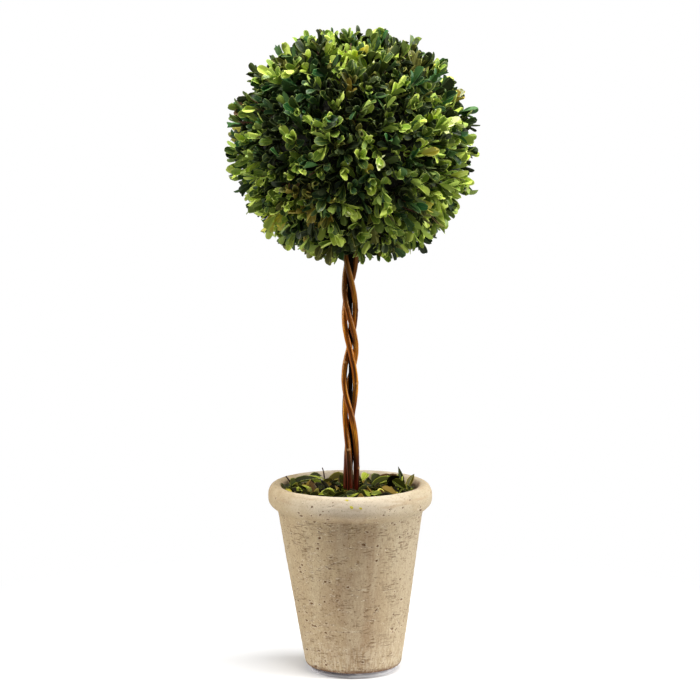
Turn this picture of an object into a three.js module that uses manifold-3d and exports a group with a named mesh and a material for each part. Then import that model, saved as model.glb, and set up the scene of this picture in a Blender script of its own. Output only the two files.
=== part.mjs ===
// Box topiary ball: a clipped ball of box leaves on three twisted canes, planted in a weathered clay pot.
// Millimetres, +Z up. The origin is the middle of the flat underside of the clear foot disc.

import * as THREE from "three";
import { mergeVertices } from "three/addons/utils/BufferGeometryUtils.js";
import Module from "manifold-3d";

const wasm = await Module();
wasm.setup();

// Whole plant
const plantHeight = 560;
const clearance = 0.3; // between pieces that touch
const sliver = 0.02; // edges shorter than this are closed up after fusing leaves
const stemX = -3; // the stem stands a little to one side of the foot, because the pot leans

// Foot disc
const footRadius = 37;
const footThick = 4.5;

// Pot: every height is above the floor
const potBase = footThick + clearance;
const potFlatRadius = 38.8;
const potFoot = { radius: 42.3, height: potBase + 4.8 }; // where the wall begins, above the rounded edge
const potNeck = { radius: 62.6, height: 138.3 }; // where the straight wall ends under the rim
const potRoll = { radius: 64.2, height: 142.3 }; // underside of the rolled rim
const potWidest = { radius: 71.5, height: 154.6 };
const potCrest = { radius: 65.4, height: 164.3 };
const potLip = { radius: 59.8, height: 162.6 };
const potWall = 8.5;
const potShoulder = 136.3; // the inner wall flares out above this height
const potInside = potBase + 10;
const potSides = 44;
const roundSteps = 4;

// Filling and the dry leaves on it
const fillTop = 156.5;
const fillSides = 36;
const fillGap = clearance + 0.15;
const litterSeed = 77;
const litterLeaves = 30;
const litterLength = 25;
const litterWidth = 12;
const litterRoom = { inner: 15, outer: 49 }; // the leaves lie between these distances from the stem

// Stem: directions are in degrees round it, 180 at the left, 270 in front and 360 at the right
const canePlaces = [0, 104, 258]; // the canes from the first one
const caneFootRadius = 2.75;
const caneTipRadius = 2.35;
const caneFoot = 112;
const caneTip = 424;
const caneSlant = 0.28; // how far a cane's cut end rises across its radius
const caneSides = 8;
const caneSteps = 44;
const twistRadius = 4.8;
const twistStart = { direction: 172, height: 342 };
const twistRate = { above: 3.2, end: 1.2 }; // degrees a millimetre
const twistEase = 245; // below this height the canes untwist
const wander = { turn: 9, turnWave: 29, out: 0.25, outWave: 21 };
const innerRadius = 1.6;
const innerSteps = 4;

// Ball
const ballSeed = 17;
const ballWidth = 214; // over the furthest leaf tips
const ballHeight = 203;
const ballX = stemX + 0.7;
const ballSquareness = 2.2; // 2 is an ellipsoid
const coreSeed = 5;
const coreShare = 0.71; // core's size over the ball's
const coreRough = 0.12;
const coreDetail = 4;
const branches = 42;
const branchJitter = 0.1;
const branchSink = 0.08; // how deep a branch starts in the core, over the ball's size
const forksPerBranch = 2;
const forkAngle = 0.23;
const twigReach = { least: 0.735, spare: 0.03 }; // where twigs end, over the ball's size
const twigRadius = 1.5;
const twigTipRadius = 0.9;
const leafLength = 30;
const leafWidth = 19;
const leafThick = 1.5;
const leafCup = 3;
const leafShoulder = 0.66; // the widest place, over the leaf's length
const leafReach = 1.01; // no tip goes further out, over the ball's size
const leafGap = 11; // leaves of different twigs keep this far apart, or less where it is crowded
const leafAttempts = 8;
const stemSpace = 10; // leaves keep this far from the stem's axis
const socketFoot = 256;
const socketSides = 16;

// Opposite pairs of leaves up a twig: the lower pair spreads, the upper pair cups round the tip
const leafPairs = [
  { at: 0.5, tilt: 1.02, size: 0.92, turn: 0 },
  { at: 0.92, tilt: 0.42, size: 1, turn: Math.PI / 2 },
];

const goldenAngle = Math.PI * (3 - Math.sqrt(5));

// Seeded random numbers from 0 to 1
function seeded(seed) {
  let state = seed;
  return () => {
    state = (state + 0x6d2b79f5) | 0;
    let mixed = Math.imul(state ^ (state >>> 15), 1 | state);
    mixed = (mixed + Math.imul(mixed ^ (mixed >>> 7), 61 | mixed)) ^ mixed;
    return ((mixed ^ (mixed >>> 14)) >>> 0) / 4294967296;
  };
}

// A closed geometry as a solid that can be joined and cut
function solidOf(geometry) {
  const bare = geometry.clone();
  bare.deleteAttribute("normal");
  bare.deleteAttribute("uv");
  const merged = mergeVertices(bare, 1e-4);
  return new wasm.Manifold(
    new wasm.Mesh({
      numProp: 3,
      vertProperties: new Float32Array(merged.attributes.position.array),
      triVerts: new Uint32Array(merged.index.array),
    }),
  );
}

function geometryOf(solid) {
  const mesh = solid.getMesh();
  const geometry = new THREE.BufferGeometry();
  geometry.setAttribute("position", new THREE.BufferAttribute(mesh.vertProperties, 3));
  geometry.setIndex(new THREE.BufferAttribute(mesh.triVerts, 1));
  geometry.computeVertexNormals();
  return geometry;
}

// The outer skin of a fused mass: sealed hollows are filled and loose scraps dropped
function largestBody(solid) {
  return solid.decompose().reduce((best, body) => (body.volume() > best.volume() ? body : best));
}

// A profile of (radius, height) points turned round the vertical axis
function turned(profile, sides) {
  const geometry = new THREE.LatheGeometry(profile, sides);
  geometry.rotateX(Math.PI / 2);
  return geometry;
}

// The pot leans: each level is shifted sideways in proportion to its height
function lean(geometry) {
  const place = geometry.attributes.position;
  for (let i = 0; i < place.count; i += 1) {
    const share = (place.getZ(i) - potBase) / (potCrest.height - potBase);
    place.setX(i, place.getX(i) + stemX * share);
  }
  return geometry;
}

function footGeometry() {
  const profile = [
    new THREE.Vector2(0, 0),
    new THREE.Vector2(footRadius, 0),
    new THREE.Vector2(footRadius, footThick),
    new THREE.Vector2(0, footThick),
  ];
  return turned(profile, potSides);
}

// Radius of the pot's straight outer wall at a height
function wallRadius(height) {
  const share = (height - potFoot.height) / (potNeck.height - potFoot.height);
  return potFoot.radius + (potNeck.radius - potFoot.radius) * share;
}

function potGeometry() {
  const outline = new THREE.Path();
  outline.moveTo(0, potBase);
  outline.lineTo(potFlatRadius, potBase);
  outline.quadraticCurveTo(potFoot.radius - 0.7, potBase, potFoot.radius, potFoot.height);
  outline.lineTo(potNeck.radius, potNeck.height);
  outline.quadraticCurveTo(potNeck.radius + 0.3, potRoll.height - 1, potRoll.radius, potRoll.height);
  outline.quadraticCurveTo(
    potWidest.radius - 1.7, potRoll.height + 3.6,
    potWidest.radius - 0.8, potWidest.height - 5,
  );
  outline.bezierCurveTo(
    potWidest.radius + 0.4, potWidest.height - 1,
    potWidest.radius + 0.2, potCrest.height - 1,
    potCrest.radius, potCrest.height,
  );
  outline.quadraticCurveTo(potLip.radius + 1, potCrest.height, potLip.radius, potLip.height);
  outline.quadraticCurveTo(potLip.radius - 2.6, fillTop + 2, wallRadius(potShoulder) - potWall, potShoulder);
  outline.lineTo(wallRadius(potInside) - potWall, potInside);
  outline.lineTo(0, potInside);
  return lean(turned(outline.getPoints(roundSteps), potSides));
}

function fillGeometry() {
  const bottom = potInside + clearance;
  const shoulder = wallRadius(potShoulder) - potWall - fillGap;
  const profile = [
    new THREE.Vector2(0, bottom),
    new THREE.Vector2(wallRadius(bottom) - potWall - fillGap, bottom),
    new THREE.Vector2(shoulder, potShoulder),
    new THREE.Vector2(shoulder + fillGap, fillTop - 2),
    new THREE.Vector2(0, fillTop),
  ];
  return lean(turned(profile, fillSides));
}

// Direction of a cane round the stem at a height, in degrees: a steady twist that eases off near the pot
function caneDirection(index, height) {
  const first = twistStart.direction + twistRate.above * (twistStart.height - Math.max(height, twistEase));
  const below = Math.max(twistEase - Math.max(height, fillTop), 0);
  const slowing = (twistRate.above - twistRate.end) / (twistEase - fillTop);
  const sway = wander.turn * Math.sin(height / wander.turnWave + index * 2);
  return first + below * (twistRate.above - (slowing * below) / 2) + canePlaces[index] + sway;
}

class CaneCurve extends THREE.Curve {
  constructor(index, foot, tip) {
    super();
    this.index = index;
    this.foot = foot;
    this.tip = tip;
  }

  getPoint(share, target = new THREE.Vector3()) {
    const height = this.foot + (this.tip - this.foot) * share;
    const turn = (caneDirection(this.index, height) * Math.PI) / 180;
    const out = twistRadius + wander.out * Math.sin(height / wander.outWave + this.index * 2);
    return target.set(stemX + out * Math.cos(turn), out * Math.sin(turn), height);
  }
}

// A round limb along a curve, tapering from its foot to its tip, with flat cut ends
function limb(curve, footRadius, tipRadius, sides, steps) {
  const section = new THREE.Shape();
  section.absarc(0, 0, 1, 0, Math.PI * 2, false);
  const geometry = new THREE.ExtrudeGeometry(section, {
    extrudePath: curve,
    steps,
    curveSegments: sides / 2,
    bevelEnabled: false,
  });
  const centres = curve.getSpacedPoints(steps);
  const place = geometry.attributes.position;
  const point = new THREE.Vector3();
  for (let i = 0; i < place.count; i += 1) {
    point.fromBufferAttribute(place, i);
    let nearest = 0;
    centres.forEach((centre, k) => {
      if (centre.distanceTo(point) < centres[nearest].distanceTo(point)) nearest = k;
    });
    const radius = footRadius + (tipRadius - footRadius) * (nearest / steps);
    point.sub(centres[nearest]).multiplyScalar(radius).add(centres[nearest]);
    place.setXYZ(i, point.x, point.y, point.z);
  }
  return geometry;
}

// One cane, or the room it needs: grow is added all round and at both ends
function caneGeometry(index, grow = 0) {
  const curve = new CaneCurve(index, caneFoot - grow, caneTip + grow);
  return limb(curve, caneFootRadius + grow, caneTipRadius + grow, caneSides, caneSteps);
}

function innerCaneGeometry(grow = 0) {
  const curve = new THREE.LineCurve3(
    new THREE.Vector3(stemX, 0, caneFoot - grow),
    new THREE.Vector3(stemX, 0, caneTip + grow),
  );
  return limb(curve, innerRadius + grow, innerRadius + grow, caneSides, innerSteps);
}

// A box leaf as a thin kite with a hollowed upper face: root at the origin, tip along +X, hollow side up
function leafGeometry(length, width, thick, cup) {
  const geometry = new THREE.OctahedronGeometry(1);
  const place = geometry.attributes.position;
  const middle = 0.5;
  for (let i = 0; i < place.count; i += 1) {
    const [x, y, z] = [place.getX(i), place.getY(i), place.getZ(i)];
    const side = Math.abs(y);
    const along = (x + 1) / 2 + side * (leafShoulder - middle);
    place.setXYZ(i, length * along, (y * width) / 2, (z * thick) / 2 + side * cup);
  }
  return geometry;
}

// Places a leaf with its root at a point, its tip along a direction and its hollow side facing the given way
function placed(geometry, root, along, facing) {
  const x = along.clone().normalize();
  const y = new THREE.Vector3().crossVectors(facing, x).normalize();
  const z = new THREE.Vector3().crossVectors(x, y);
  return geometry.applyMatrix4(new THREE.Matrix4().makeBasis(x, y, z).setPosition(root));
}

// A three-sided tapering twig between two points
function twigGeometry(from, to, footRadius, tipRadius) {
  const span = new THREE.Vector3().subVectors(to, from);
  const geometry = new THREE.CylinderGeometry(tipRadius, footRadius, span.length(), 3, 1);
  geometry.translate(0, span.length() / 2, 0);
  const turn = new THREE.Quaternion().setFromUnitVectors(new THREE.Vector3(0, 1, 0), span.clone().normalize());
  return geometry.applyQuaternion(turn).translate(from.x, from.y, from.z);
}

// Distance from the ball's middle to its clipped outline in a direction
function outline(direction) {
  const across = Math.hypot(direction.x, direction.y) / (ballWidth / 2);
  const up = Math.abs(direction.z) / (ballHeight / 2);
  return (across ** ballSquareness + up ** ballSquareness) ** (-1 / ballSquareness);
}

// An even spread of directions over a sphere, each moved a little at random
function spread(count, random, jitter) {
  return Array.from({ length: count }, (unused, i) => {
    const z = 1 - (2 * (i + 0.5)) / count;
    const level = Math.sqrt(1 - z * z);
    const turn = goldenAngle * i;
    const direction = new THREE.Vector3(Math.cos(turn) * level, Math.sin(turn) * level, z);
    const shift = new THREE.Vector3(random() - 0.5, random() - 0.5, random() - 0.5).multiplyScalar(jitter);
    return direction.add(shift).normalize();
  });
}

function sideways(direction, turn) {
  const help = Math.abs(direction.z) > 0.9 ? new THREE.Vector3(1, 0, 0) : new THREE.Vector3(0, 0, 1);
  const first = new THREE.Vector3().crossVectors(direction, help).normalize();
  const second = new THREE.Vector3().crossVectors(direction, first);
  return first.multiplyScalar(Math.cos(turn)).addScaledVector(second, Math.sin(turn));
}

// Points along a leaf's midline, by which leaves keep apart
function midline(root, along, length) {
  return [0.35, 0.65, 0.95].map((share) => root.clone().addScaledVector(along, length * share));
}

// A leaf turns and tilts a little until it is clear of the leaves before it, and is skipped if it can't be
function sprig(from, to, turn, random, middle, taken) {
  const axis = new THREE.Vector3().subVectors(to, from).normalize();
  const pieces = [];
  const grown = [];
  leafPairs.forEach((pair) => {
    [0, Math.PI].forEach((half) => {
      const size = pair.size * (0.88 + 0.24 * random());
      const root = from.clone().lerp(to, pair.at);
      for (let attempt = 0; attempt < leafAttempts; attempt += 1) {
        const aside = sideways(axis, turn + pair.turn + half + (random() - 0.5) * 0.9);
        const tilt = pair.tilt + (random() - 0.5) * 0.5;
        const along = axis.clone().multiplyScalar(Math.cos(tilt)).addScaledVector(aside, Math.sin(tilt));
        const facing = axis.clone().multiplyScalar(Math.sin(tilt)).addScaledVector(aside, -Math.cos(tilt));
        const points = midline(root, along, leafLength * size);
        const near = new THREE.Vector3().subVectors(points[2], middle);
        const reach = near.length() / outline(near.clone().normalize());
        const beside = Math.min(...points.map((point) => Math.hypot(point.x - stemX, point.y)));
        if (reach > leafReach || (beside < stemSpace && near.z < 0)) continue;
        const gap = leafGap * (1 - attempt / leafAttempts);
        if (points.some((point) => taken.some((other) => other.distanceTo(point) < gap))) continue;
        grown.push(...points);
        const leaf = leafGeometry(leafLength * size, leafWidth * size, leafThick, leafCup);
        pieces.push(placed(leaf, root, along, facing));
        break;
      }
    });
  });
  taken.push(...grown);
  return pieces;
}

// Branches fork once on their way out of the core, and each fork ends in a sprig of leaves
function foliage(middle) {
  const random = seeded(ballSeed);
  const pieces = [];
  const taken = [];
  spread(branches, random, branchJitter).forEach((direction) => {
    const reach = outline(direction);
    const foot = middle.clone().addScaledVector(direction, reach * (coreShare - branchSink));
    const turn = random() * Math.PI * 2;
    for (let fork = 0; fork < forksPerBranch; fork += 1) {
      const aside = sideways(direction, turn + (fork * 2 * Math.PI) / forksPerBranch);
      const way = direction.clone().addScaledVector(aside, forkAngle * (0.8 + 0.4 * random())).normalize();
      const end = outline(way) * (twigReach.least + twigReach.spare * random());
      const tip = middle.clone().addScaledVector(way, end);
      if (Math.hypot(tip.x - stemX, tip.y) < stemSpace && way.z < 0) continue;
      pieces.push(twigGeometry(foot, tip, twigRadius, twigTipRadius));
      pieces.push(...sprig(foot, tip, random() * Math.PI, random, middle, taken));
    }
  });
  return pieces;
}

function coreGeometry(middle) {
  const round = new THREE.IcosahedronGeometry(1, coreDetail);
  round.deleteAttribute("normal");
  round.deleteAttribute("uv");
  const geometry = mergeVertices(round, 1e-4);
  const random = seeded(coreSeed);
  const place = geometry.attributes.position;
  const point = new THREE.Vector3();
  for (let i = 0; i < place.count; i += 1) {
    point.fromBufferAttribute(place, i).normalize();
    point.multiplyScalar(outline(point) * (coreShare + coreRough * (random() - 0.5))).add(middle);
    place.setXYZ(i, point.x, point.y, point.z);
  }
  return geometry;
}

// The socket that the canes run up into the ball through
function socketGeometry() {
  const radius = twistRadius + wander.out + caneTipRadius + clearance + 0.2;
  const top = caneTip + caneTipRadius * caneSlant + clearance;
  const profile = [
    new THREE.Vector2(0, socketFoot),
    new THREE.Vector2(radius, socketFoot),
    new THREE.Vector2(radius, top),
    new THREE.Vector2(0, top),
  ];
  return turned(profile, socketSides).translate(stemX, 0, 0);
}

// Stretches the fused ball a little, so that its furthest leaf tips span the ball's width and height
function fitted(geometry) {
  geometry.computeBoundingBox();
  const size = geometry.boundingBox.getSize(new THREE.Vector3());
  const middle = geometry.boundingBox.getCenter(new THREE.Vector3());
  geometry.translate(-middle.x, -middle.y, -middle.z);
  geometry.scale(ballWidth / size.x, ballWidth / size.y, ballHeight / size.z);
  return geometry.translate(ballX, 0, plantHeight - ballHeight / 2);
}

function ballSolid() {
  const middle = new THREE.Vector3(ballX, 0, plantHeight - ballHeight / 2);
  const pieces = [coreGeometry(middle), ...foliage(middle)].map(solidOf);
  const fused = largestBody(wasm.Manifold.union(pieces)).simplify(sliver);
  const ball = solidOf(fitted(geometryOf(fused)));
  return largestBody(ball.subtract(solidOf(socketGeometry()))).simplify(sliver);
}

// Dry leaves lying on the filling, tips a little up, each turned until it misses the stem and the pot
function litter() {
  const random = seeded(litterSeed);
  const up = new THREE.Vector3(0, 0, 1);
  const pieces = [];
  for (let i = 0; i < litterLeaves; i += 1) {
    const turn = goldenAngle * i;
    const out = litterRoom.outer * Math.sqrt((i + 3) / (litterLeaves + 2));
    const root = new THREE.Vector3(stemX + out * Math.cos(turn), out * Math.sin(turn), fillTop - 1);
    const size = 0.85 + 0.35 * random();
    for (let attempt = 0; attempt < leafAttempts; attempt += 1) {
      const way = random() * Math.PI * 2;
      const along = new THREE.Vector3(Math.cos(way), Math.sin(way), 0.15 + 0.4 * random()).normalize();
      const beside = midline(root, along, litterLength * size).map((p) => Math.hypot(p.x - stemX, p.y));
      if (Math.min(...beside, out) < litterRoom.inner || Math.max(...beside) > litterRoom.outer + 2) continue;
      const leaf = leafGeometry(litterLength * size, litterWidth * size, leafThick, leafCup / 2);
      pieces.push(placed(leaf, root, along, up));
      break;
    }
  }
  return pieces;
}

function fillSolid() {
  const room = clearance + 0.1;
  const canes = canePlaces.map((place, i) => solidOf(caneGeometry(i, room)));
  const fill = wasm.Manifold.union([fillGeometry(), ...litter()].map(solidOf));
  const sockets = wasm.Manifold.union([...canes, solidOf(innerCaneGeometry(room))]);
  return largestBody(fill.subtract(sockets));
}

// Colours and finishes
const clay = new THREE.MeshStandardMaterial({ color: 0xc9b899, roughness: 0.92, metalness: 0 });
const clear = new THREE.MeshStandardMaterial({ color: 0xd9dde2, roughness: 0.12, metalness: 0 });
const leafGreen = new THREE.MeshStandardMaterial({ color: 0x46612a, roughness: 0.55, metalness: 0 });
const dryLeaf = new THREE.MeshStandardMaterial({ color: 0x5b6226, roughness: 0.65, metalness: 0 });
const bark = new THREE.MeshStandardMaterial({ color: 0x8a4a22, roughness: 0.38, metalness: 0 });
const darkBark = new THREE.MeshStandardMaterial({ color: 0x2a1710, roughness: 0.6, metalness: 0 });

function piece(name, geometry, material) {
  const mesh = new THREE.Mesh(geometry, material);
  mesh.name = name;
  return mesh;
}

const topiary = new THREE.Group();
topiary.add(piece("foot_disc", footGeometry(), clear));
topiary.add(piece("pot", potGeometry(), clay));
topiary.add(piece("filling", geometryOf(fillSolid()), dryLeaf));
canePlaces.forEach((place, i) => topiary.add(piece(`cane_${i + 1}`, caneGeometry(i), bark)));
topiary.add(piece("inner_cane", innerCaneGeometry(), darkBark));
topiary.add(piece("leaf_ball", geometryOf(ballSolid()), leafGreen));

export default topiary;
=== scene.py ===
# Box topiary ball: a clipped ball of box leaves on a stem of twisted canes, in a chalky clay pot
# on a clear disc. The dictionaries hold millimetres, degrees and shares of a size. Materials and
# finished meshes are in metres. Directions round the stem: 180 is left, 270 the front and 360 right.

import math
import bpy
import numpy as np
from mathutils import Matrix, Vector


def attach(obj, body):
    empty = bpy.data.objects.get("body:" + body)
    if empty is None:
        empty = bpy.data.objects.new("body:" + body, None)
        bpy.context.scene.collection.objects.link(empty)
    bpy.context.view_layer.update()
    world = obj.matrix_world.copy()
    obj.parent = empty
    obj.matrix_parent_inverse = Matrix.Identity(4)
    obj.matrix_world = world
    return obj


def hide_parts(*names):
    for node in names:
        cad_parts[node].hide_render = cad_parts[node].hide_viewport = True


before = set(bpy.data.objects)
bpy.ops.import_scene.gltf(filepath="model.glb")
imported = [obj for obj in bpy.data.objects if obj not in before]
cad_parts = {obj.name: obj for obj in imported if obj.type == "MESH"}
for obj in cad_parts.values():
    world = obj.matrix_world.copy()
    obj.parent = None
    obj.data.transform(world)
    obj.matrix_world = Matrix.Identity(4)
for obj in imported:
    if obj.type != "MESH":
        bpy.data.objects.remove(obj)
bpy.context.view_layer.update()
scene = bpy.context.scene
mm = 0.001
fullTurn = 2 * np.pi
goldenTurn = np.pi * (3 - math.sqrt(5))
stemX = -3  # the stem stands to the left of the pot's foot

# The camera stands in front of the plant and looks down on the pot's rim
cameraSetup = {
    "aim": (-3, 0, 281.25),
    "distance": 2400,
    "down": 8.0,
    "lens": 143.1,
    "sensor": 36,
    "seen": (50, 60000),  # nearest and furthest
}


def addCamera(setup):
    down = math.radians(setup["down"])
    back = Vector((0, -math.cos(down), math.sin(down)))
    data = bpy.data.cameras.new("camera")
    data.lens = setup["lens"]
    data.sensor_width = setup["sensor"]
    data.clip_start, data.clip_end = (limit * mm for limit in setup["seen"])
    camera = bpy.data.objects.new("camera", data)
    camera.location = (Vector(setup["aim"]) + back * setup["distance"]) * mm
    camera.rotation_euler = (math.radians(90) - down, 0, 0)
    scene.collection.objects.link(camera)
    bpy.context.scene.camera = camera


addCamera(cameraSetup)
print("camera placed")


# A colour as a screen shows it, 0 to 255, turned into the linear one that shaders use
def paint(red, green, blue):
    shown = np.array([red, green, blue]) / 255
    linear = np.where(shown <= 0.04045, shown / 12.92, ((shown + 0.055) / 1.055) ** 2.4)
    return (*linear.tolist(), 1)


# A node with its settings and sockets filled in; another node's output is linked to its socket
def addNode(tree, kind, sockets, **settings):
    node = tree.nodes.new(kind)
    for name, value in settings.items():
        setattr(node, name, value)
    for name, value in sockets.items():
        if isinstance(value, bpy.types.NodeSocket):
            tree.links.new(value, node.inputs[name])
        else:
            node.inputs[name].default_value = value
    return node


# A material with numbers set on its shader's own sockets, whose names have _ for a space here
def newMaterial(name, **values):
    material = bpy.data.materials.new(name)
    material.use_nodes = True
    tree = material.node_tree
    shader = tree.nodes["Principled BSDF"]
    for socket, value in values.items():
        shader.inputs[socket.replace("_", " ")].default_value = value
    return material, tree, shader


def objectPlace(tree):
    return addNode(tree, "ShaderNodeTexCoord", {}).outputs["Object"]


def ownAttribute(tree, name, output):
    return addNode(tree, "ShaderNodeAttribute", {}, attribute_name=name).outputs[output]


def partOf(tree, place, axis):
    return addNode(tree, "ShaderNodeSeparateXYZ", {"Vector": place}).outputs[axis]


def stretched(tree, place, scale):
    return addNode(tree, "ShaderNodeMapping", {"Vector": place, "Scale": scale}).outputs["Vector"]


def lengthOf(tree, place):
    return addNode(tree, "ShaderNodeVectorMath", {0: place}, operation="LENGTH").outputs["Value"]


# Noise from 0 to 1, with one scale for all three axes or one for each of them
def noise(tree, place, scale, detail, roughness):
    if isinstance(scale, tuple):
        place, scale = stretched(tree, place, scale), 1
    sockets = {"Vector": place, "Scale": scale, "Detail": detail, "Roughness": roughness}
    return addNode(tree, "ShaderNodeTexNoise", sockets).outputs["Fac"]


# 0 below low and 1 above high, with a smooth step between; the other way round if low is the larger
def step(tree, value, low, high):
    sockets = {"Value": value, "From Min": low, "From Max": high}
    return addNode(tree, "ShaderNodeMapRange", sockets, interpolation_type="SMOOTHSTEP").outputs["Result"]


# A value from start to end brought in a straight line to low to high, and held there at both ends
def ranged(tree, value, low, high, start=0.0, end=1.0):
    sockets = {"Value": value, "From Min": start, "From Max": end, "To Min": low, "To Max": high}
    return addNode(tree, "ShaderNodeMapRange", sockets).outputs["Result"]


def maths(tree, operation, first, second):
    return addNode(tree, "ShaderNodeMath", {0: first, 1: second}, operation=operation).outputs["Value"]


# Shares multiplied together
def product(tree, total, *shares):
    for share in shares:
        total = maths(tree, "MULTIPLY", total, share)
    return total


# A total with more values added to it, each times its weight
def summed(tree, total, *parts):
    for weight, value in parts:
        total = maths(tree, "ADD", total, maths(tree, "MULTIPLY", value, weight))
    return total


def mixed(tree, share, first, second):
    sockets = {0: share, 6: first, 7: second}
    return addNode(tree, "ShaderNodeMix", sockets, data_type="RGBA").outputs[2]


# Coats over a ground colour: each is a screen colour, and shares whose product says how far it covers
def layered(tree, ground, *coats):
    colour = paint(*ground)
    for shown, *shares in coats:
        colour = mixed(tree, product(tree, *shares), colour, paint(*shown))
    return colour


# A finished surface gets its colour, and its relief from a height
def dressed(tree, shader, colour, height, strength, distance):
    sockets = {"Height": height, "Strength": strength, "Distance": distance}
    tree.links.new(addNode(tree, "ShaderNodeBump", sockets).outputs["Normal"], shader.inputs["Normal"])
    tree.links.new(colour, shader.inputs["Base Color"])


# Points in millimetres and groups of faces become a piece in metres;
# each group holds faces of one corner count
def addPiece(name, points, faceGroups, materials, slots=None, sharpAngle=None, attributes=None):
    mesh = bpy.data.meshes.new(name)
    faces = [face for group in faceGroups for face in group.tolist()]
    mesh.from_pydata((points * mm).tolist(), [], faces)
    mesh.polygons.foreach_set("use_smooth", np.ones(len(faces), bool))
    for material in materials:
        mesh.materials.append(material)
    if slots is not None:
        mesh.polygons.foreach_set("material_index", slots.astype(np.int32))
    for attribute, values in (attributes or {}).items():
        kind, field = ("FLOAT_VECTOR", "vector") if values.ndim == 2 else ("FLOAT", "value")
        layer = mesh.attributes.new(attribute, kind, "POINT")
        layer.data.foreach_set(field, values.astype(np.float32).ravel())
    mesh.update()
    if sharpAngle is not None:
        mesh.set_sharp_from_angle(angle=math.radians(sharpAngle))
    piece = bpy.data.objects.new(name, mesh)
    scene.collection.objects.link(piece)
    return piece


# Every piece rides on the plant's only body and stands for its CAD nodes
def settle(piece, slot, *nodes):
    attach(piece, "root")
    if nodes:
        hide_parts(*nodes)


def unit(vectors):
    return vectors / np.linalg.norm(vectors, axis=-1, keepdims=True)


# Points at a distance out from the upright axis: (out * cos turn, out * sin turn, up)
def around(out, turn, up):
    return np.stack([out * np.cos(turn), out * np.sin(turn), up], -1)


# A direction from its turn round the stem and its rise above level, both in radians
def wayOf(turn, rise):
    return around(np.cos(rise), turn, np.sin(rise))


# A direction square to another one, turned round it by an angle
def sideways(direction, turn):
    steep = np.abs(direction[..., 2:]) > 0.9
    other = np.where(steep, np.array([1.0, 0, 0]), np.array([0, 0, 1.0]))
    first = unit(np.cross(direction, other))
    second = np.cross(direction, first)
    return first * np.cos(turn)[..., None] + second * np.sin(turn)[..., None]


def fromStem(points):
    return np.hypot(points[..., 0] - stemX, points[..., 1])


def ringTurns(count):
    return np.arange(count) * (fullTurn / count)


# Random numbers from -most to most
def strayed(random, most, shape):
    return random.uniform(-most, most, shape)


# A dictionary of rows, such as one of leaves, cut down to the chosen rows
def picked(rows, chosen):
    return {key: values[chosen] for key, values in rows.items()}


def joined(*groups):
    return {key: np.concatenate([group[key] for group in groups]) for key in groups[0]}


# Smooth seeded roughness from about -1 to 1: sines along random directions are added up,
# and each finer set of them has half the wavelength and half the height of the one before
def ripple(points, wavelength, seed, octaves=3, waves=8):
    random = np.random.default_rng(seed)
    total = np.zeros(points.shape[:-1])
    for octave in range(octaves):
        ways = unit(random.normal(size=(waves, 3)))
        phases = random.uniform(0, fullTurn, waves)
        turns = points @ ways.T * (fullTurn * 2**octave / wavelength) + phases
        total += np.sin(turns).sum(-1) / (waves * 0.5) ** 0.5 / 2**octave
    return total / 2


# A Bezier curve through its control points, of any degree, without its first point:
# each pass blends neighbours until one point is left
def bezier(controls, steps):
    share = np.linspace(0, 1, steps + 1)[1:, None, None]
    level = np.repeat(np.array(controls, float)[None], steps, axis=0)
    while level.shape[1] > 1:
        level = level[:, :-1] * (1 - share) + level[:, 1:] * share
    return level[:, 0]


# A profile of (radius, height) rows: from a start on, each curve goes from the last one's end
# through its control points, in so many steps
def profileOf(start, *curves):
    parts = [np.array([start], float)]
    for steps, *controls in curves:
        parts.append(bezier([parts[-1][-1], *controls], steps))
    return np.concatenate(parts)


# Rows of (outwards, up) turned round the upright axis
def spun(rows, turn):
    return around(rows[:, :1], turn, np.repeat(rows[:, 1:], len(turn), axis=1))


# A profile turned into a grid of points, its columns going round, and the way outwards at each point,
# which is the profile's own normal turned with it
def turnedGrid(profile, columns):
    turn = ringTurns(columns)
    slope = np.gradient(profile, axis=0)
    return spun(profile, turn), spun(unit(np.stack([slope[:, 1], -slope[:, 0]], -1)), turn)


# Quads over a grid of rows by columns whose last column meets the first; they face outwards
# where the rows climb and the columns go anticlockwise seen from above
def ringQuads(rows, columns):
    row, column = np.meshgrid(np.arange(rows - 1), np.arange(columns), indexing="ij")
    here, above, after = row * columns, (row + 1) * columns, (column + 1) % columns
    return np.stack([here + column, here + after, above + after, above + column], -1).reshape(-1, 4)


# Triangles that close a ring of vertices on one middle vertex
def fan(ring, middle):
    return np.stack([ring, np.roll(ring, -1), np.full(len(ring), middle)], -1)


# The closed skin of a turned grid: its first and last rows are closed on the axis
def closedTurning(points):
    rows, columns = points.shape[:2]
    ends = np.array([points[0].mean(0), points[-1].mean(0)])
    below = fan(np.arange(columns)[::-1], rows * columns)
    above = fan(np.arange(columns) + (rows - 1) * columns, rows * columns + 1)
    points = np.concatenate([points.reshape(-1, 3), ends])
    return points, [ringQuads(rows, columns), np.concatenate([below, above])]


# Rings of points round many lines at once: lines is (tubes, steps, 3) and radius fits (tubes, steps, sides);
# each ring lies across its line, and its first point keeps to the same side all the way
def tubePoints(lines, radius, sides):
    tangent = unit(np.gradient(lines, axis=1))
    chord = unit(lines[:, -1] - lines[:, 0])
    first = sideways(chord, np.zeros(len(chord)))[:, None, :]
    first = unit(first - (first * tangent).sum(-1, keepdims=True) * tangent)
    second = np.cross(tangent, first)
    turn = ringTurns(sides)
    ring = first[:, :, None] * np.cos(turn)[:, None] + second[:, :, None] * np.sin(turn)[:, None]
    return lines[:, :, None] + ring * radius[..., None]


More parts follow.
